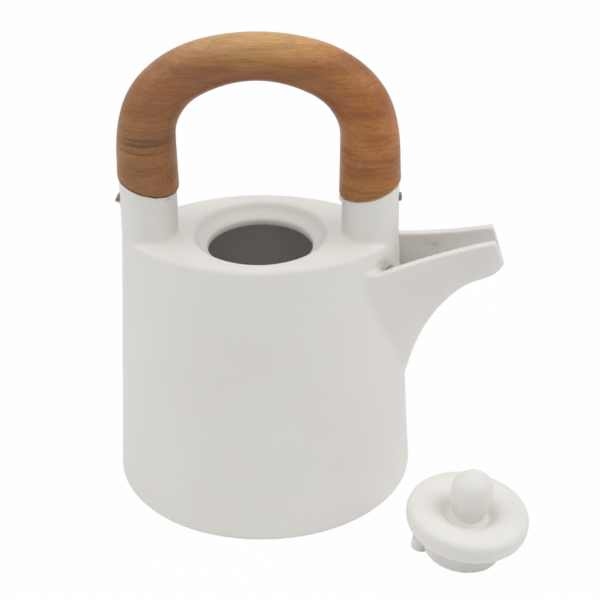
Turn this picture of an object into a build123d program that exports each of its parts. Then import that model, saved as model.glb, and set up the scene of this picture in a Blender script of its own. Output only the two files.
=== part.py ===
# White stoneware teapot: a tapered pot with an open beak spout, an arched wooden handle pegged into
# two clay sockets, and a ring-shaped lid that lies beside the pot. The origin is the centre of the foot,
# on the table. +Z is up, +X runs to the spout's tip and -Y faces the viewer.
# Lengths are in millimetres and angles in degrees.
import os
from math import atan2, cos, degrees, hypot, radians, sin, tan

from build123d import *

os.makedirs("parts", exist_ok=True)

# Pot
base_radius = 70.0
deck_height = 124.0
deck_half_depth = 38.2
wall = 4.5
floor_thickness = 5.5
deck_thickness = 5.0
deck_edge_radius = 2.5
foot_edge_radius = 1.5

# Lid seat in the deck
mouth_radius = 24.1
seat_radius = 29.8
seat_step = 2.2
seat_depth = 6.6
seat_collar_wall = 4.0
seat_collar_drop = 3.2
seat_lip_radius = 1.0
mouth_edge_radius = 1.6

# Handle sockets
post_radius = 13.0
post_spacing = 100.8
post_root = 4.0
post_height = {"left": 26.2, "right": 23.6}
seam_slant = 15.5
seam_pitch = 4.3

# Wooden handle
leg_radius = 14.3
leg_taper = 1.0
leg_lean = 0.4
grip_radius = 10.7
leg_length = 22.0
arch_rise = 39.6
shoulder_radius = 36.4
shoulder_thickness_share = 0.4
leg_steps = 3
shoulder_steps = 3
leg_edge_radius = 1.2
tenon_radius = 8.0
tenon_length = 17.9
tenon_clearance = 0.2
socket_floor_gap = 1.0

# Pegs
peg_radius = 2.1
peg_drop = 6.9
peg_proud = {"left": 2.0, "right": 0.8}
peg_end_radius = 0.6
peg_clearance = 0.05
peg_depth_in_tenon = 9.0

# Spout, with points along its rim and its keel as (x, z) pairs from the end of the deck
spout_wall = 3.8
spout_keel_wall = 5.0
flank_fullness = 0.5
keel_bluntness = 0.25
rim_root = (-16.9, -12.2)
rim_bend = (15.6, -6.5)
rim_end = (40.6, -1.7)
rim_tip = (43.9, -1.4)
keel_root = (3.1, -80.0)
keel_bend = (13.1, -31.0)
keel_end = (43.8, -22.8)
keel_tip = (49.0, -16.4)
root_width_share = 0.66
bend_half_width = 11.9
end_half_width = 10.2
tip_half_width = 9.8
spout_lead_in = 0.15
spout_steps = 6

# Strainer holes behind the spout
strainer_radius = 2.6
strainer_row_pitch = 9.5
strainer_column_pitch = 11.5
strainer_narrowing = 2.3
strainer_drop = 14.5
strainer_rows = 3
strainer_columns = 3

# Lid, with heights above the bottom of its spigot
brim_radius = 27.7
brim_crest_radius = 21.0
brim_crest_height = 23.8
brim_edge_height = 18.4
brim_under_height = 11.5
brim_roundness = 0.74
spigot_radius = 17.6
spigot_wall = 4.0
dish_radius = 9.0
dish_height = 18.2
dish_softness = 0.2
crest_breadth = 0.8
lid_plate_thickness = 5.5
lug_root = 13.0
lug_reach = 21.5
lug_width = 22.0
lug_drop = 4.1
lug_height = 5.0
lug_corner_radius = 4.0
lid_x = 91.8
lid_y = -76.6
lug_heading = 150.0

# Lid knob
knob_radius = 9.6
knob_base_radius = 6.7
knob_top_height = 42.8
collar_width = 1.9
collar_height = 1.5

# Derived places
sides = ((-1, "left"), (1, "right"))
post_x = post_spacing / 2
deck_end = post_x + post_radius
root_half_width = root_width_share * deck_half_depth
side_bulge = deck_half_depth - post_radius
side_offset = (post_x**2 - side_bulge**2) / (2 * side_bulge)
side_radius = deck_half_depth + side_offset
corner_angle = degrees(atan2(side_offset, post_x))
ledge_height = deck_height - seat_depth
collar_bottom = ledge_height - seat_collar_drop
seam_height = {name: deck_height + height for name, height in post_height.items()}
seam_middle = sum(seam_height.values()) / len(sides)
peg_height = seam_middle - peg_drop
tenon_foot = seam_middle - tenon_length
leg_straight_height = seam_middle + leg_length
grip_height = leg_straight_height + arch_rise


def wall_section(height, inset):
    """Outline of the pot at a height: four tangent arcs, from a circle at the foot to a pointed oval."""
    share = height / deck_height
    end_center = post_x * share
    end_arc = base_radius + (post_radius - base_radius) * share - inset
    side_center = side_offset * share
    side_arc = base_radius + (side_radius - base_radius) * share - inset
    end_span = 2 * corner_angle
    side_span = 180 - end_span
    with BuildSketch(Plane.XY.offset(height)) as section:
        with BuildLine():
            CenterArc((end_center, 0), end_arc, -corner_angle, end_span)
            CenterArc((0, -side_center), side_arc, corner_angle, side_span)
            CenterArc((-end_center, 0), end_arc, 180 - corner_angle, end_span)
            CenterArc((0, side_center), side_arc, 180 + corner_angle, side_span)
        make_face()
    return section.sketch


def seam_plane(side, side_name):
    """Slanted plane where a wooden leg stands on its socket, higher on the outer side and at the back."""
    normal = (-side * tan(radians(seam_slant)), -tan(radians(seam_pitch)), 1)
    return Plane((side * post_x, 0, seam_height[side_name]), z_dir=normal)


# Pot body
with BuildPart() as pot_body:
    loft(sections=[wall_section(0, 0), wall_section(deck_height, 0)], ruled=True)
    fillet(pot_body.faces().sort_by(Axis.Z)[-1].edges(), deck_edge_radius)
    fillet(pot_body.faces().sort_by(Axis.Z)[0].edges(), foot_edge_radius)
    loft(
        sections=[wall_section(floor_thickness, wall), wall_section(deck_height - deck_thickness, wall)],
        ruled=True,
        mode=Mode.SUBTRACT,
    )
    # Collar that hangs under the deck and carries the lid seat
    with BuildSketch(Plane.XY.offset(collar_bottom)):
        Circle(seat_radius + seat_collar_wall)
    extrude(amount=deck_height - deck_thickness - collar_bottom)
    # Seat: a short step, a sloping ledge and the mouth
    with BuildSketch(Plane.XZ):
        with BuildLine():
            Polyline(
                (0, deck_height),
                (seat_radius, deck_height),
                (seat_radius, deck_height - seat_step),
                (mouth_radius, ledge_height),
                (mouth_radius, collar_bottom),
                (0, collar_bottom),
                close=True,
            )
        make_face()
    revolve(axis=Axis.Z, mode=Mode.SUBTRACT)
    circles = pot_body.edges().filter_by(GeomType.CIRCLE)
    lip = circles.filter_by(lambda edge: abs(edge.radius - seat_radius) < 0.01).sort_by(Axis.Z)[-1]
    fillet(lip, seat_lip_radius)
    circles = pot_body.edges().filter_by(GeomType.CIRCLE)
    mouth = circles.filter_by(lambda edge: abs(edge.radius - mouth_radius) < 0.01).sort_by(Axis.Z)[-1]
    fillet(mouth, mouth_edge_radius)
    # Beds for the two handle sockets
    with BuildSketch(Plane.XY.offset(deck_height - post_root)):
        with GridLocations(post_spacing, 0, 2, 1):
            Circle(post_radius)
    extrude(amount=post_root, mode=Mode.SUBTRACT)
    # Strainer holes through the wall behind the spout, closer together where the spout narrows
    with BuildSketch(Plane.YZ.offset(post_x)):
        for row in range(strainer_rows):
            row_height = deck_height - strainer_drop - row * strainer_row_pitch
            column_pitch = strainer_column_pitch - row * strainer_narrowing
            with Locations((0, row_height)):
                with GridLocations(column_pitch, 0, strainer_columns, 1):
                    Circle(strainer_radius)
    extrude(amount=base_radius, mode=Mode.SUBTRACT)
pot_body.part.label = "pot_body"
export_step(pot_body.part, "parts/pot_body.step")


# Handle sockets, one on each end of the deck
for side, side_name in sides:
    with BuildPart() as handle_post:
        with BuildSketch(Plane.XY.offset(deck_height - post_root)):
            with Locations((side * post_x, 0)):
                Circle(post_radius)
        extrude(amount=post_root + post_height[side_name] + post_radius)
        split(bisect_by=seam_plane(side, side_name), keep=Keep.BOTTOM)
        with BuildSketch(Plane.XY.offset(tenon_foot - socket_floor_gap)):
            with Locations((side * post_x, 0)):
                Circle(tenon_radius + tenon_clearance)
        extrude(amount=tenon_length + socket_floor_gap + post_radius, mode=Mode.SUBTRACT)
        with BuildSketch(Plane.YZ.offset(side * post_x)):
            with Locations((0, peg_height)):
                Circle(peg_radius + peg_clearance)
        extrude(amount=side * post_radius, mode=Mode.SUBTRACT)
    handle_post.part.label = f"handle_post_{side_name}"
    export_step(handle_post.part, f"parts/handle_post_{side_name}.step")


# Handle centreline: straight legs, a shoulder arc and a flatter arc over the top
shoulder_x = post_x - leg_lean - shoulder_radius
crown_radius = (arch_rise**2 + shoulder_x**2 - shoulder_radius**2) / (2 * (arch_rise - shoulder_radius))
crown_center = grip_height - crown_radius
shoulder_span = degrees(atan2(leg_straight_height - crown_center, shoulder_x))
shoulder_leg = leg_radius - leg_taper
shoulder_grip = grip_radius + (shoulder_leg - grip_radius) * shoulder_thickness_share


def handle_stations():
    """Centre, heading and radius of each round section, from the right leg to the middle of the grip."""
    leg_start = min(seam_height.values()) - leg_radius / 2
    stations = []
    for step in range(leg_steps):
        share = step / leg_steps
        z = leg_start + (leg_straight_height - leg_start) * share
        stations.append(((post_x - leg_lean * share, z), 90, leg_radius - leg_taper * share))
    for step in range(shoulder_steps + 1):
        share = step / shoulder_steps
        angle = shoulder_span * share
        x = shoulder_x + shoulder_radius * cos(radians(angle))
        z = leg_straight_height + shoulder_radius * sin(radians(angle))
        stations.append(((x, z), 90 + angle, shoulder_leg + (shoulder_grip - shoulder_leg) * share))
    crown_middle = (shoulder_span + 90) / 2
    x = crown_radius * cos(radians(crown_middle))
    z = crown_center + crown_radius * sin(radians(crown_middle))
    stations.append(((x, z), 90 + crown_middle, (2 * grip_radius + shoulder_grip) / 3))
    stations.append(((0, grip_height), 180, grip_radius))
    return stations


def handle_section(center, heading, radius):
    """Round section of the handle, square to its centreline in the XZ plane."""
    direction = (cos(radians(heading)), 0, sin(radians(heading)))
    with BuildSketch(Plane((center[0], 0, center[1]), x_dir=(0, 1, 0), z_dir=direction)) as section:
        Circle(radius)
    return section.sketch


right_half = handle_stations()
left_half = [((-x, z), 360 - heading, radius) for (x, z), heading, radius in reversed(right_half[:-1])]

# Wooden handle
with BuildPart() as handle:
    loft(sections=[handle_section(*station) for station in right_half + left_half])
    for side, side_name in sides:
        split(bisect_by=seam_plane(side, side_name), keep=Keep.TOP)
    fillet(handle.faces().filter_by(GeomType.PLANE).edges(), leg_edge_radius)
    with BuildSketch(Plane.XY.offset(tenon_foot)):
        with GridLocations(post_spacing, 0, 2, 1):
            Circle(tenon_radius)
    extrude(amount=tenon_length + tenon_radius)
    for side, _ in sides:
        with BuildSketch(Plane.YZ.offset(side * (post_x + tenon_radius - peg_depth_in_tenon))):
            with Locations((0, peg_height)):
                Circle(peg_radius + peg_clearance)
        extrude(amount=side * peg_depth_in_tenon, mode=Mode.SUBTRACT)
handle.part.label = "handle"
export_step(handle.part, "parts/handle.step")


# Pegs that lock the tenons in their sockets
peg_inner_x = post_x + tenon_radius - peg_depth_in_tenon + peg_clearance
for side, side_name in sides:
    with BuildPart() as peg:
        with BuildSketch(Plane.YZ.offset(side * peg_inner_x)):
            with Locations((0, peg_height)):
                Circle(peg_radius)
        extrude(amount=side * (deck_end + peg_proud[side_name] - peg_inner_x))
        outer_edge = peg.edges().sort_by(lambda edge: side * edge.center().X)[-1]
        fillet(outer_edge, peg_end_radius)
    peg.part.label = f"peg_{side_name}"
    export_step(peg.part, f"parts/peg_{side_name}.step")


def spout_section(rim, keel, half_width, side_inset=0.0, keel_inset=0.0, rise=0.0):
    """Outline of the beak in the slanted plane that runs through a rim point and a keel point."""
    depth = hypot(rim[0] - keel[0], rim[1] - keel[1])
    up = ((rim[0] - keel[0]) / depth, (rim[1] - keel[1]) / depth)
    place = (deck_end + rim[0], 0, deck_height + rim[1])
    plane = Plane(place, x_dir=(0, 1, 0), z_dir=(up[1], 0, -up[0]))
    width = half_width - side_inset
    bottom = keel_inset - depth
    shoulder = flank_fullness * bottom
    blunt = keel_bluntness * width
    with BuildSketch(plane) as section:
        with BuildLine():
            Line((-width, rise), (width, rise))
            Bezier((width, rise), (width, shoulder), (blunt, bottom), (0, bottom))
            Bezier((0, bottom), (-blunt, bottom), (-width, shoulder), (-width, rise))
        make_face()
    return section.sketch


def bent(start, bend, end, share):
    """Point at a share along a curve from start to end that is drawn towards bend."""
    weights = ((1 - share) ** 2, 2 * share * (1 - share), share**2)
    return tuple(sum(w * p[i] for w, p in zip(weights, (start, bend, end))) for i in range(len(start)))


def spout_stations():
    """Rim point, keel point and half width at the rim, from inside the wall to the tip."""
    stations = []
    for step in range(spout_steps + 1):
        share = -spout_lead_in + (1 + spout_lead_in) * step / spout_steps
        rim = bent(rim_root, rim_bend, rim_end, share)
        keel = bent(keel_root, keel_bend, keel_end, share)
        (half_width,) = bent((root_half_width,), (bend_half_width,), (end_half_width,), share)
        stations.append((rim, keel, half_width))
    stations.append((rim_tip, keel_tip, tip_half_width))
    return stations


# Spout
with BuildPart() as spout:
    loft(sections=[spout_section(*station) for station in spout_stations()])
    loft(
        sections=[
            spout_section(*station, side_inset=spout_wall, keel_inset=spout_keel_wall, rise=spout_wall)
            for station in spout_stations()
        ],
        mode=Mode.SUBTRACT,
    )
    loft(sections=[wall_section(0, 0), wall_section(deck_height, 0)], ruled=True, mode=Mode.SUBTRACT)
spout.part.label = "spout"
export_step(spout.part, "parts/spout.step")


# Lid frame: the lid leans on its lug and on the far edge of its spigot
spigot_inner = spigot_radius - spigot_wall
lid_tilt = atan2(lug_drop, spigot_radius + lug_root)
lid_rest_height = spigot_radius * sin(lid_tilt)
lean = Vector(cos(radians(lug_heading)), sin(radians(lug_heading)), 0)
lid_x_dir = Vector(-lean.X * cos(lid_tilt), -lean.Y * cos(lid_tilt), -sin(lid_tilt))
lid_z_dir = Vector(-lean.X * sin(lid_tilt), -lean.Y * sin(lid_tilt), cos(lid_tilt))
lid_plane = Plane((lid_x, lid_y, lid_rest_height), x_dir=lid_x_dir, z_dir=lid_z_dir)
lid_profile_plane = Plane(lid_plane.origin, x_dir=lid_plane.x_dir, z_dir=-lid_plane.y_dir)
lid_axis = Axis(lid_plane.origin, lid_plane.z_dir)

# Lid
with BuildPart() as lid:
    crest = (brim_crest_radius, brim_crest_height)
    dish_reach = dish_softness * (brim_crest_radius - dish_radius)
    crest_reach = crest_breadth * (brim_crest_radius - dish_radius)
    crest_bulge = brim_crest_radius + brim_roundness * (brim_radius - brim_crest_radius)
    edge_rise = brim_roundness * (brim_crest_height - brim_edge_height)
    edge_fall = brim_roundness * (brim_edge_height - brim_under_height)
    under_bulge = spigot_radius + brim_roundness * (brim_radius - spigot_radius)
    with BuildSketch(lid_profile_plane):
        with BuildLine():
            dish = Line((0, dish_height), (dish_radius, dish_height))
            Bezier(
                dish @ 1,
                (dish_radius + dish_reach, dish_height),
                (brim_crest_radius - crest_reach, brim_crest_height),
                crest,
            )
            Bezier(
                crest,
                (crest_bulge, brim_crest_height),
                (brim_radius, brim_edge_height + edge_rise),
                (brim_radius, brim_edge_height),
            )
            Bezier(
                (brim_radius, brim_edge_height),
                (brim_radius, brim_edge_height - edge_fall),
                (under_bulge, brim_under_height),
                (spigot_radius, brim_under_height),
            )
            Polyline(
                (spigot_radius, brim_under_height),
                (spigot_radius, 0),
                (spigot_inner, 0),
                (spigot_inner, dish_height - lid_plate_thickness),
                (0, dish_height - lid_plate_thickness),
                dish @ 0,
            )
        make_face()
    revolve(axis=lid_axis)
    # Locking lug under the spigot
    lug_length = lug_reach - lug_root
    with BuildSketch(lid_plane.offset(-lug_drop)):
        with Locations((-lug_root - lug_length / 2, 0)):
            RectangleRounded(lug_length, lug_width, lug_corner_radius)
    extrude(amount=lug_height)
lid.part.label = "lid"
export_step(lid.part, "parts/lid.step")

# Lid knob
knob_center_height = knob_top_height - knob_radius
collar_radius = knob_base_radius + collar_width
collar_top = dish_height + collar_height
with BuildPart() as lid_knob:
    with BuildSketch(lid_profile_plane):
        with BuildLine():
            foot = Line((0, dish_height), (collar_radius, dish_height))
            collar = Line((collar_radius, collar_top), (knob_base_radius, collar_top))
            Line(foot @ 1, collar @ 0)
            crown = CenterArc((0, knob_center_height), knob_radius, 0, 90)
            TangentArc(crown @ 0, collar @ 1, tangent=(0, -1))
            Line(crown @ 1, foot @ 0)
        make_face()
    revolve(axis=lid_axis)
lid_knob.part.label = "lid_knob"
export_step(lid_knob.part, "parts/lid_knob.step")
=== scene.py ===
import math

import bmesh
import bpy
import numpy as np
from mathutils import Matrix, Vector, noise
from mathutils.bvhtree import BVHTree


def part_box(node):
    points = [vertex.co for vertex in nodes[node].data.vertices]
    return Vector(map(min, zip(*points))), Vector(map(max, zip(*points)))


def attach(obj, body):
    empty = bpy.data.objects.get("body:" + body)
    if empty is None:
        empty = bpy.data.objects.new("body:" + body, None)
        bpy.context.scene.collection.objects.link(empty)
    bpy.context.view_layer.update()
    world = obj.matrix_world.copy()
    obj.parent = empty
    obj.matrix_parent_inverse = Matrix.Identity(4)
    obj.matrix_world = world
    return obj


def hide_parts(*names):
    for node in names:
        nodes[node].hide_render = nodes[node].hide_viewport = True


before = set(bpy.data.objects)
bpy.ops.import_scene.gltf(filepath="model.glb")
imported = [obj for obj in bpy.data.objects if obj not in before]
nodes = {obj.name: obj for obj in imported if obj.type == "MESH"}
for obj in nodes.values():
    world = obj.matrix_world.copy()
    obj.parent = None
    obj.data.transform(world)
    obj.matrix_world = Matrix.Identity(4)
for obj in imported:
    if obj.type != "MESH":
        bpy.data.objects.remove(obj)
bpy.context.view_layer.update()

MM = 0.001

# Camera, measured on the photograph
IMAGE_SIZE = 600
FOCAL_PIXELS = 1900.0
SENSOR_MM = 36.0
CAMERA_ELEVATION = math.radians(30.01)
CAMERA_YAW = math.radians(1.45)
CAMERA_ROLL = math.radians(-0.72)
CAMERA_DISTANCE = 0.88954
LOOK_SIDEWAYS = 0.01786
LOOK_HEIGHT = 0.08747

# Places that the details hang on
deck_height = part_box("pot_body")[1].z
post_low, post_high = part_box("handle_post_right")
deck_end = post_high.x
post_radius = (post_high.x - post_low.x) / 2
post_x = deck_end - post_radius
grip_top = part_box("handle")[1].z
# Depth over which the top of the grip is painted lighter, a painted highlight
GRIP_DEPTH = 11 * MM
SIDES = ((-1, "left"), (1, "right"))

# Seams between the wooden legs and their sockets
SEAM_SLANT = math.tan(math.radians(15.5))
SEAM_PITCH = math.tan(math.radians(4.3))

# Clay skins
POT_VOXEL = 0.7 * MM
LID_VOXEL = 0.4 * MM
SKIN_ROUNDS = 7
POST_FILLET_REACH = 2.4 * MM
POST_FILLET_ROUNDS = 9
SPOUT_FILLET_REACH = 3.0 * MM
SPOUT_FILLET_ROUNDS = 14
SEAT_RADIUS = 29.8 * MM
SEAT_STEP = 2.2 * MM
SEAT_SOFT_REACH = 5.5 * MM
SEAT_SOFT_ROUNDS = 40
WAVE_HEIGHT = 0.14 * MM
WAVE_SIZE = 24 * MM
WAVE_SEED = 11
POT_WAVE_START = 3.1
LID_WAVE_START = 7.7
SMOOTH_IN = 0.50
SMOOTH_OUT = 0.53
noise.seed_set(WAVE_SEED)


def link(obj):
    """The object, shown in the scene."""
    bpy.context.scene.collection.objects.link(obj)
    return obj


def lump(place, sizes, turn=0.0):
    """A blob of slip with half sizes along its own axes, turned about the upright."""
    shape = bmesh.new()
    matrix = Matrix.LocRotScale(place, Matrix.Rotation(turn, 3, "Z"), Vector(sizes))
    bmesh.ops.create_icosphere(shape, subdivisions=4, radius=1.0, matrix=matrix)
    mesh = bpy.data.meshes.new("lump")
    shape.to_mesh(mesh)
    shape.free()
    return mesh


def fused_skin(name, sources, voxel):
    """One closed, even skin round several meshes that overlap."""
    fused = bmesh.new()
    for source in sources:
        fused.from_mesh(source)
    mesh = bpy.data.meshes.new(name)
    fused.to_mesh(mesh)
    fused.free()
    carrier = link(bpy.data.objects.new(name, mesh))
    remesh = carrier.modifiers.new("skin", "REMESH")
    remesh.mode = "VOXEL"
    remesh.voxel_size = voxel
    evaluated = carrier.evaluated_get(bpy.context.evaluated_depsgraph_get())
    skin = bpy.data.meshes.new_from_object(evaluated)
    bpy.data.objects.remove(carrier)
    skin.materials.clear()
    return skin


def points_of(mesh):
    """The mesh's points as rows of an array."""
    points = np.empty(len(mesh.vertices) * 3)
    mesh.vertices.foreach_get("co", points)
    return points.reshape(-1, 3)


def edges_of(mesh):
    """The mesh's edges as rows of two point numbers."""
    edges = np.empty(len(mesh.edges) * 2, np.int64)
    mesh.edges.foreach_get("vertices", edges)
    return edges.reshape(-1, 2)


def neighbour_pull(points, edges):
    """The way from each point to the middle of its neighbours."""
    count = len(points)
    first, second = edges.T
    neighbours = np.bincount(edges.ravel(), minlength=count)
    middle = np.empty_like(points)
    for axis in range(3):
        values = points[:, axis]
        total = np.bincount(first, values[second], count) + np.bincount(second, values[first], count)
        middle[:, axis] = total / neighbours
    return middle - points


def smoothed(points, edges, rounds):
    """Points without the fine steps of the skin, while its size stays."""
    for _ in range(rounds):
        points = points + SMOOTH_IN * neighbour_pull(points, edges)
        points = points - SMOOTH_OUT * neighbour_pull(points, edges)
    return points


def relaxed(points, edges, pull, rounds):
    """Points drawn to their neighbours, so that sharp steps turn soft."""
    for _ in range(rounds):
        points = points + 0.5 * pull[:, None] * neighbour_pull(points, edges)
    return points


def filleted(mesh, points, edges, pull, rounds):
    """Points pushed outwards only, so that hollow corners fill up and round ones stay."""
    refresh = 10
    for step in range(rounds):
        if step % refresh == 0:
            mesh.vertices.foreach_set("co", points.ravel())
            mesh.update()
            outward = np.empty(points.size)
            mesh.vertex_normals.foreach_get("vector", outward)
            outward = outward.reshape(-1, 3)
        rise = np.clip((neighbour_pull(points, edges) * outward).sum(axis=1), 0, None)
        points = points + (pull * rise)[:, None] * outward
    return points


def distances(points, node, reach):
    """How far each point is from a CAD node's surface, up to a reach."""
    tree = BVHTree.FromObject(nodes[node], bpy.context.evaluated_depsgraph_get())
    low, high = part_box(node)
    near = np.all((points > np.array(low) - reach) & (points < np.array(high) + reach), axis=1)
    result = np.full(len(points), reach)
    for index in np.flatnonzero(near):
        found = tree.find_nearest(points[index], reach)[3]
        if found is not None:
            result[index] = found
    return result


def faded(distance, reach):
    """1 at no distance, falling smoothly to 0 at the reach."""
    share = np.clip(1 - distance / reach, 0, 1)
    return share * share * (3 - 2 * share)


def waved(points, start):
    """Points moved a little, as a hand-finished surface waves."""
    shift = Vector((start, start, start))
    moves = [noise.noise_vector(Vector(point) / WAVE_SIZE + shift) for point in points]
    return points + WAVE_HEIGHT * np.array(moves)


def store(mesh, name, values):
    """Keeps one number per point on the mesh, for its material to read."""
    attribute = mesh.attributes.new(name, "FLOAT", "POINT")
    attribute.data.foreach_set("value", np.asarray(values, np.float32))


def clay_piece(name, mesh, points, stains_and_shade, body, castings):
    """A finished clay skin that replaces its castings and stays inside their box."""
    lows, highs = zip(*(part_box(node) for node in castings))
    points = np.clip(points, np.min(lows, axis=0), np.max(highs, axis=0))
    mesh.vertices.foreach_set("co", points.ravel())
    mesh.update()
    mesh.shade_smooth()
    store(mesh, "stain_and_shade", stains_and_shade)
    mesh.materials.append(clay)
    piece = link(bpy.data.objects.new(name, mesh))
    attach(piece, body)
    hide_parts(*castings)


# Shader building blocks
def new_material(name):
    """An empty node material, and a function that adds nodes with their inputs set or linked."""
    material = bpy.data.materials.new(name)
    material.use_nodes = True
    material.node_tree.nodes.clear()
    return material, node_adder(material.node_tree)


def node_adder(tree):
    """A function that adds a node to the tree, with its inputs set or linked."""

    def add(kind, inputs=None, **settings):
        node = tree.nodes.new(kind)
        for key, value in settings.items():
            setattr(node, key, value)
        for key, value in (inputs or {}).items():
            if isinstance(value, bpy.types.NodeSocket):
                tree.links.new(value, node.inputs[key])
            else:
                node.inputs[key].default_value = value
        return node

    return add


def grey(level):
    """A colour of equal parts."""
    return (level, level, level)


def ramp(add, value, *stops):
    """A colour that follows a value through its stops."""
    node = add("ShaderNodeValToRGB", {"Fac": value})
    elements = node.color_ramp.elements
    while len(elements) < len(stops):
        elements.new(0.5)
    for element, (position, color) in zip(elements, stops):
        element.position = position
        element.color = (*color, 1)
    return node.outputs["Color"]


def mixed(add, share, first, second, blend="MIX"):
    """Two colours mixed by a share."""
    colors = [value if isinstance(value, bpy.types.NodeSocket) else (*value, 1) for value in (first, second)]
    inputs = {0: share, 6: colors[0], 7: colors[1]}
    return add("ShaderNodeMix", inputs, data_type="RGBA", blend_type=blend).outputs[2]


def reckoned(add, operation, *values):
    """The result of an operation on numbers and sockets."""
    return add("ShaderNodeMath", dict(enumerate(values)), operation=operation).outputs[0]


def grain(add, place, scales, detail=2.0, roughness=0.5):
    """Noise at a place, with its own scale along each axis."""
    stretched = add("ShaderNodeMapping", {"Vector": place, "Scale": scales}).outputs["Vector"]
    inputs = {"Vector": stretched, "Scale": 1.0, "Detail": detail, "Roughness": roughness}
    return add("ShaderNodeTexNoise", inputs).outputs["Fac"]


def patch(add, place, center, sizes):
    """1 at a centre, falling to 0 at half sizes along the axes."""
    scales = tuple(1 / size for size in sizes)
    shift = tuple(-where / size for where, size in zip(center, sizes))
    local = add("ShaderNodeMapping", {"Vector": place, "Location": shift, "Scale": scales})
    ball = add("ShaderNodeTexGradient", {"Vector": local.outputs["Vector"]}, gradient_type="SPHERICAL")
    return ball.outputs["Fac"]


def surface(add, color, roughness, height, depth, strength=1.0, specular=0.5):
    """Joins colour, roughness and relief to the material's output."""
    relief = add("ShaderNodeBump", {"Height": height, "Strength": strength, "Distance": depth})
    inputs = {
        "Base Color": color,
        "Roughness": roughness,
        "Specular IOR Level": specular,
        "Normal": relief.outputs["Normal"],
    }
    shader = add("ShaderNodeBsdfPrincipled", inputs)
    add("ShaderNodeOutputMaterial", {"Surface": shader.outputs["BSDF"]})


def object_place(add):
    """Places in the frame, which the patterns follow."""
    return add("ShaderNodeTexCoord").outputs["Object"]


def stoneware():
    """Soft white glaze over cast clay, a little warmer in broad patches, and brown in a few marks: a real
    smear, painted shade in the crease by the spout's near rim, and brown tints by the spout.
    """
    material, add = new_material("stoneware")
    place = object_place(add)
    broad = grain(add, place, (16, 16, 16), 3)
    glaze = ramp(add, broad, (0.3, (0.866, 0.836, 0.793)), (0.7, (0.894, 0.869, 0.830)))
    specks = grain(add, place, (1300, 1300, 1300), 2)
    specks = ramp(add, specks, (0.25, grey(0.93)), (0.4, grey(1.0)))
    glaze = mixed(add, 1.0, glaze, specks, "MULTIPLY")
    # Brown marks read from the points: a real smear, painted shade in the crease by the spout's near rim,
    # and brown tints by the spout
    stain_and_shade = add("ShaderNodeAttribute", attribute_name="stain_and_shade").outputs["Fac"]
    patchy = ramp(add, grain(add, place, (450, 450, 450), 4, 0.65), (0.35, grey(0.3)), (0.62, grey(1.0)))
    glaze = mixed(add, reckoned(add, "MULTIPLY", stain_and_shade, patchy), glaze, (0.30, 0.215, 0.14))
    sheen = ramp(add, grain(add, place, (90, 90, 90), 3), (0.3, grey(0.42)), (0.7, grey(0.55)))
    surface(add, glaze, sheen, grain(add, place, (800, 800, 800), 3, 0.6), 0.2 * MM, 0.08)
    return material


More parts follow.
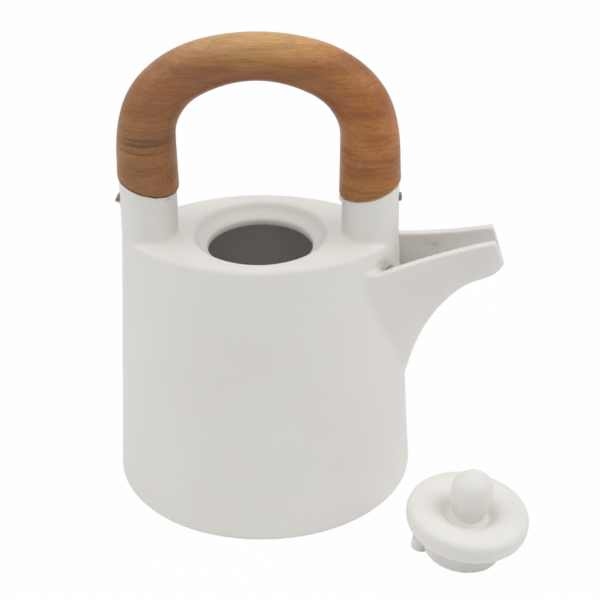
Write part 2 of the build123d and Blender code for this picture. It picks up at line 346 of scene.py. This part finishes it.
def carved_wood():
    """Oiled brown hardwood: growth layers lie flat, fibres and pores run along X, and the top of the grip is
    painted lighter as a painted highlight.
    """
    material, add = new_material("carved_wood")
    place = object_place(add)
    split = add("ShaderNodeSeparateXYZ", {"Vector": place}).outputs
    # Painted highlight: the wood is painted lighter towards the top of the grip, where the overhead light
    # falls
    painted_top_light = add("ShaderNodeMapRange", {"Value": split["Z"]})
    painted_top_light.inputs["From Min"].default_value = grip_top - GRIP_DEPTH
    painted_top_light.inputs["From Max"].default_value = grip_top
    painted_top_light.inputs["To Min"].default_value = 0.19
    painted_top_light.inputs["To Max"].default_value = 0.56
    tone = grain(add, place, (14, 40, 70), 4, 0.6)
    tone = reckoned(add, "MULTIPLY_ADD", tone, 0.7, painted_top_light.outputs["Result"])
    wood = ramp(
        add,
        tone,
        (0.30, (0.17, 0.062, 0.024)),
        (0.50, (0.29, 0.122, 0.044)),
        (0.70, (0.44, 0.215, 0.083)),
        (0.95, (0.62, 0.375, 0.170)),
    )
    # Golden and reddish zones, paler legs, and a redder right leg
    hue = ramp(add, grain(add, place, (22, 22, 30), 2), (0.4, (1.02, 1.06, 0.98)), (0.6, (1.02, 0.95, 0.95)))
    wood = mixed(add, 1.0, wood, hue, "MULTIPLY")
    legs = add("ShaderNodeMapRange", {"Value": reckoned(add, "ABSOLUTE", split["X"])})
    legs.inputs["From Min"].default_value = post_x / 3
    legs.inputs["From Max"].default_value = post_x * 0.8
    wood = mixed(add, legs.outputs["Result"], wood, mixed(add, 1.0, wood, (1.12, 1.12, 1.08), "MULTIPLY"))
    right = add("ShaderNodeMapRange", {"Value": split["X"]})
    right.inputs["From Min"].default_value = -post_x / 2
    right.inputs["From Max"].default_value = post_x
    wood = mixed(add, right.outputs["Result"], wood, mixed(add, 1.0, wood, (1.26, 1.12, 0.82), "MULTIPLY"))
    # Fine fibres and short dark pores
    fibres = grain(add, place, (45, 1000, 1000), 3, 0.6)
    streaks = ramp(add, fibres, (0.3, grey(0.80)), (0.7, grey(1.12)))
    wood = mixed(add, 1.0, wood, streaks, "MULTIPLY")
    pores = ramp(add, grain(add, place, (140, 1500, 1500)), (0.64, grey(0.0)), (0.72, grey(0.6)))
    wood = mixed(add, pores, wood, (0.11, 0.045, 0.022))
    # Growth layers, darkest round the left leg
    warp = grain(add, place, (18, 30, 30))
    level = reckoned(add, "MULTIPLY_ADD", warp, 10 * MM, split["Z"])
    layered = add("ShaderNodeCombineXYZ", {"X": split["X"], "Y": split["Y"], "Z": level}).outputs["Vector"]
    layers = grain(add, layered, (14, 24, 760), 2, 0.6)
    lines = ramp(add, layers, (0.38, grey(1.0)), (0.49, grey(0.0)))
    leg_middle = deck_height + 48 * MM
    left_patch = patch(add, place, (-post_x, -8 * MM, leg_middle), (22 * MM, 30 * MM, 11 * MM))
    right_patch = patch(add, place, (post_x, -8 * MM, leg_middle - 10 * MM), (30 * MM, 30 * MM, 20 * MM))
    depth = reckoned(add, "MULTIPLY_ADD", left_patch, 0.75, 0.13)
    depth = reckoned(add, "MULTIPLY_ADD", right_patch, 0.25, depth)
    depth = reckoned(add, "MINIMUM", reckoned(add, "MULTIPLY", lines, depth), 0.8)
    wood = mixed(add, depth, wood, (0.105, 0.042, 0.026))
    sheen = ramp(add, tone, (0.3, grey(0.50)), (0.7, grey(0.40)))
    relief = reckoned(add, "SUBTRACT", fibres, pores)
    surface(add, wood, sheen, relief, 0.15 * MM, 0.12, 0.4)
    return material


def raw_dowel():
    """Dull grey-brown end of a split dowel."""
    material, add = new_material("raw_dowel")
    fibres = grain(add, object_place(add), (300, 1400, 1400), 4, 0.65)
    color = ramp(add, fibres, (0.3, (0.20, 0.15, 0.115)), (0.7, (0.42, 0.35, 0.29)))
    surface(add, color, 0.8, fibres, 0.3 * MM, 0.6)
    return material


def glue_and_gap_shadow_material(name, dark, pale):
    """Dried glue with dirt in it; in the near-black colours of the left seam it is painted shadow of the
    open joint instead.
    """
    material, add = new_material(name)
    dirt = grain(add, object_place(add), (260, 260, 260), 4, 0.65)
    color = ramp(add, dirt, (0.35, dark), (0.65, pale))
    surface(add, color, 0.65, dirt, 0.2 * MM, 0.4)
    return material


clay = stoneware()
wood = carved_wood()
dowel = raw_dowel()
glue_and_gap_shadow_materials = {
    # Painted shadow: the near-black left bead stands for the shade in the open joint; the right bead is pale
    # dried glue
    "left": glue_and_gap_shadow_material("painted_gap_shadow", (0.050, 0.026, 0.012), (0.13, 0.075, 0.036)),
    "right": glue_and_gap_shadow_material("pale_glue", (0.36, 0.25, 0.15), (0.62, 0.52, 0.40)),
}

# Small marks of handwork, and brown marks in the glaze: centre and half sizes from the end of the deck or
# from a socket's middle
deck_corner = Vector((deck_end, 0, deck_height))
left_socket = Vector((-post_x, 0, deck_height))
right_socket = Vector((post_x, 0, deck_height))
slip_lumps = (
    lump(deck_corner + Vector((-12.6, -21.5, -11.2)) * MM, Vector((3.6, 1.8, 1.3)) * MM, math.radians(39)),
    lump(right_socket + Vector((-12.6, -3.0, 19.4)) * MM, Vector((1.7, 5.0, 1.1)) * MM),
    lump(left_socket + Vector((-13.2, 0.0, 15.9)) * MM, Vector((2.0, 1.7, 0.8)) * MM),
)
stain_and_shade_marks = (
    # Painted shade: brown in the corner between the wall and the spout's near rim
    (deck_corner + Vector((-7.4, -15.0, -9.0)) * MM, Vector((7.0, 7.0, 6.0)) * MM, 0.42),
    # Brown tint along the far inside of the spout
    (deck_corner + Vector((15.6, 9.5, -11.4)) * MM, Vector((9.0, 4.0, 2.6)) * MM, 0.32),
    # Thin brown line down the end of the pot, below the right socket
    (deck_corner + Vector((-1.0, -6.0, -6.5)) * MM, Vector((1.6, 1.2, 7.5)) * MM, 0.35),
    # A real brown smear at the inner side of the left seam
    (left_socket + Vector((9.7, -8.7, 20.9)) * MM, Vector((2.6, 2.4, 1.2)) * MM, 0.5),
)


def stain_and_shade_at(points):
    """How brown each point is from the marks: a real smear, painted shade in the crease by the spout, and
    brown tints.
    """
    total = np.zeros(len(points))
    for center, sizes, strength in stain_and_shade_marks:
        offset = (points - np.array(center)) / np.array(sizes)
        total += strength * faded(np.linalg.norm(offset, axis=1), 1.0)
    return np.clip(total, 0, 1)


# Pot, sockets and spout as one skin
POT_CASTINGS = ("pot_body", "spout", "handle_post_left", "handle_post_right")
pot_mesh = fused_skin("pot_skin", [nodes[n].data for n in POT_CASTINGS] + list(slip_lumps), POT_VOXEL)
pot_edges = edges_of(pot_mesh)
pot_points = smoothed(points_of(pot_mesh), pot_edges, SKIN_ROUNDS)
to_wall = distances(pot_points, "pot_body", POST_FILLET_REACH)
to_spout = distances(pot_points, "spout", SPOUT_FILLET_REACH)
to_posts = np.minimum(
    distances(pot_points, "handle_post_left", POST_FILLET_REACH),
    distances(pot_points, "handle_post_right", POST_FILLET_REACH),
)
post_crease = faded(np.maximum(to_wall, to_posts), POST_FILLET_REACH)
spout_crease = faded(np.maximum(to_wall, to_spout), SPOUT_FILLET_REACH)
pot_points = filleted(pot_mesh, pot_points, pot_edges, post_crease, POST_FILLET_ROUNDS)
pot_points = filleted(pot_mesh, pot_points, pot_edges, spout_crease, SPOUT_FILLET_ROUNDS)
# The step of the lid seat is worn soft
from_axis = np.hypot(pot_points[:, 0], pot_points[:, 1])
from_step = np.hypot(from_axis - SEAT_RADIUS, pot_points[:, 2] - deck_height + SEAT_STEP / 2)
pot_points = relaxed(pot_points, pot_edges, faded(from_step, SEAT_SOFT_REACH), SEAT_SOFT_ROUNDS)
pot_stain_and_shade = stain_and_shade_at(pot_points)
clay_piece("pot_skin", pot_mesh, waved(pot_points, POT_WAVE_START), pot_stain_and_shade, "pot", POT_CASTINGS)

# Lid and knob as one skin
LID_CASTINGS = ("lid", "lid_knob")
lid_mesh = fused_skin("lid_skin", [nodes[n].data for n in LID_CASTINGS], LID_VOXEL)
lid_points = smoothed(points_of(lid_mesh), edges_of(lid_mesh), SKIN_ROUNDS)
lid_stain_and_shade = np.zeros(len(lid_points))
clay_piece("lid_skin", lid_mesh, waved(lid_points, LID_WAVE_START), lid_stain_and_shade, "lid", LID_CASTINGS)

# Wooden handle
nodes["handle"].data.materials.clear()
nodes["handle"].data.materials.append(wood)


def ring_mesh(name, rings, closed):
    """A mesh through rings of points, joined end to end or capped at both ends."""
    shape = bmesh.new()
    loops = [[shape.verts.new(point) for point in ring] for ring in rings]
    count = len(loops[0])
    pairs = list(zip(loops, loops[1:]))
    if closed:
        pairs.append((loops[-1], loops[0]))
    for first, second in pairs:
        for index in range(count):
            after = (index + 1) % count
            shape.faces.new((first[index], first[after], second[after], second[index]))
    if not closed:
        shape.faces.new(loops[0])
        shape.faces.new(loops[-1])
    bmesh.ops.recalc_face_normals(shape, faces=shape.faces)
    mesh = bpy.data.meshes.new(name)
    shape.to_mesh(mesh)
    shape.free()
    mesh.shade_smooth()
    return mesh


def turned(index, count):
    """The angle of one of several even steps round a circle."""
    return 2 * math.pi * index / count


# Pegs: how far each stands out of its socket at its lower and upper edge, and in its rounded middle
PEG_PROUD = {"left": (2.4 * MM, 0.1 * MM, 0.0), "right": (0.1 * MM, 0.1 * MM, 1.1 * MM)}
PEG_POINTS = 32
PEG_CAP_RINGS = (1.0, 0.85, 0.65, 0.45, 0.25, 0.08)
PEG_RAG = 0.25 * MM


def split_dowel(side, side_name):
    """A dowel whose outer end is split off at a slant, with ragged fibres."""
    node = f"peg_{side_name}"
    low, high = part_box(node)
    middle = (low + high) / 2
    radius = (high.z - low.z) / 2
    inner = low.x if side > 0 else high.x
    below, above, bulge = PEG_PROUD[side_name]

    def ring(share, outer):
        points = []
        for index in range(PEG_POINTS):
            angle = turned(index, PEG_POINTS)
            y = radius * share * math.cos(angle)
            z = radius * share * math.sin(angle)
            proud = below + (above - below) * (z / radius + 1) / 2
            proud += bulge * (1 - (z / radius) ** 2)
            rag = PEG_RAG * noise.noise(Vector((y, z, side * MM)) / (0.7 * MM))
            x = side * (deck_end + proud + rag) if outer else inner
            points.append((x, middle.y + y, middle.z + z))
        return points

    rings = [ring(1.0, False)] + [ring(share, True) for share in PEG_CAP_RINGS]
    peg = link(bpy.data.objects.new(node + "_split", ring_mesh(node + "_split", rings, False)))
    peg.data.materials.append(dowel)
    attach(peg, "pot")
    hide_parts(node)


# A bead that fills the open joint under each leg: pale dried glue on the right, painted shadow of the joint
# on the left
SEAM_BEAD_RADIUS = 12.6 * MM
SEAM_BEAD_SECTION = 0.9 * MM
SEAM_BEAD_STEPS = 160
SEAM_BEAD_POINTS = 10


def glue_and_gap_shadow_bead(side, side_name):
    """A lumpy bead round the slanted seam: glue on the right, painted shadow of the open joint on the left.
    """
    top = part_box(f"handle_post_{side_name}")[1].z
    middle = top - post_radius * math.hypot(SEAM_SLANT, SEAM_PITCH)
    rings = []
    for step in range(SEAM_BEAD_STEPS):
        angle = turned(step, SEAM_BEAD_STEPS)
        out = Vector((math.cos(angle), math.sin(angle), 0))
        spot = SEAM_BEAD_RADIUS * out
        spot.z = middle + side * SEAM_SLANT * spot.x + SEAM_PITCH * spot.y
        spot.x += side * post_x
        bead = SEAM_BEAD_SECTION * (1 + 0.25 * noise.noise(spot / (4 * MM)))
        ring = []
        for index in range(SEAM_BEAD_POINTS):
            around = turned(index, SEAM_BEAD_POINTS)
            ring.append(spot + bead * (math.cos(around) * out + math.sin(around) * Vector((0, 0, 1))))
        rings.append(ring)
    # On the left this bead is painted shadow of the open joint, on the right it is glue
    name = f"glue_{side_name}"
    line = link(bpy.data.objects.new(name, ring_mesh(name, rings, True)))
    line.data.materials.append(glue_and_gap_shadow_materials[side_name])
    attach(line, "pot")


for side, side_name in SIDES:
    split_dowel(side, side_name)
    glue_and_gap_shadow_bead(side, side_name)


# White studio
def seen_share(add):
    """1 for rays that show the surroundings: those of the camera, reflections and clear pieces."""
    rays = add("ShaderNodeLightPath").outputs
    seen = reckoned(add, "MAXIMUM", rays["Is Camera Ray"], rays["Is Glossy Ray"])
    return reckoned(add, "MAXIMUM", seen, rays["Is Transmission Ray"])


FLOOR_SIZE = 6.0
FLOOR_GLOW = 0.96
AMBIENT = 0.31
NEUTRAL = (1.0, 1.0, 1.0)
# Each lamp's place, width, power in watts and colour
LAMPS = {
    "overhead": ((0.05, 0.05, 1.5), 2.4, 14.8, (0.965, 0.99, 1.0)),
    "left": ((-1.3, -0.2, 1.05), 1.0, 4.8, NEUTRAL),
    "right": ((1.4, -0.1, 1.05), 1.0, 5.7, NEUTRAL),
    "front": ((0.1, -1.2, 1.1), 1.0, 1.3, NEUTRAL),
}


def white_floor():
    """Pale floor that is white to the camera and in reflections, and keeps a soft shadow."""
    material, add = new_material("white_floor")
    matte = add("ShaderNodeBsdfDiffuse", {"Color": (0.93, 0.93, 0.93, 1)})
    glow = add("ShaderNodeEmission", {"Color": (1, 1, 1, 1), "Strength": 1.0})
    share = reckoned(add, "MULTIPLY", seen_share(add), FLOOR_GLOW)
    mix = add("ShaderNodeMixShader", {0: share, 1: matte.outputs[0], 2: glow.outputs[0]})
    add("ShaderNodeOutputMaterial", {"Surface": mix.outputs[0]})
    return material


def white_world():
    """Even light from all round that looks white."""
    world = bpy.data.worlds.new("studio")
    world.use_nodes = True
    world.node_tree.nodes.clear()
    add = node_adder(world.node_tree)
    level = add("ShaderNodeMapRange", {"Value": seen_share(add), "To Min": AMBIENT, "To Max": 1.0})
    sky = add("ShaderNodeBackground", {"Color": (1, 1, 1, 1), "Strength": level.outputs["Result"]})
    add("ShaderNodeOutputWorld", {"Surface": sky.outputs[0]})
    return world


def studio():
    """White floor and surroundings, and broad soft lamps."""
    bpy.ops.mesh.primitive_grid_add(x_subdivisions=2, y_subdivisions=2, size=FLOOR_SIZE)
    floor = bpy.context.object
    floor.name = "floor"
    floor.data.materials.append(white_floor())
    bpy.context.scene.world = white_world()
    for name, (place, size, power, color) in LAMPS.items():
        data = bpy.data.lights.new(name, "AREA")
        data.size = size
        data.energy = power
        data.color = color
        lamp = link(bpy.data.objects.new(name, data))
        lamp.location = place
        aim = Vector((0, 0, deck_height / 2)) - Vector(place)
        lamp.rotation_euler = aim.to_track_quat("-Z", "Y").to_euler()


def photograph_camera():
    """The camera at the photograph's place, angle and zoom."""
    flat = math.cos(CAMERA_ELEVATION)
    back = Vector((math.sin(CAMERA_YAW) * flat, -math.cos(CAMERA_YAW) * flat, math.sin(CAMERA_ELEVATION)))
    level = Vector((math.cos(CAMERA_YAW), math.sin(CAMERA_YAW), 0))
    right = math.cos(CAMERA_ROLL) * level + math.sin(CAMERA_ROLL) * back.cross(level)
    look = LOOK_SIDEWAYS * level + Vector((0, 0, LOOK_HEIGHT))
    data = bpy.data.cameras.new("camera")
    data.sensor_width = SENSOR_MM
    data.lens = FOCAL_PIXELS / IMAGE_SIZE * SENSOR_MM
    camera = link(bpy.data.objects.new("camera", data))
    turn = Matrix((right, back.cross(right), back)).transposed().to_4x4()
    camera.matrix_world = Matrix.Translation(look + CAMERA_DISTANCE * back) @ turn
    bpy.context.scene.camera = camera


studio()
photograph_camera()
bpy.context.scene.view_settings.view_transform = "Standard"
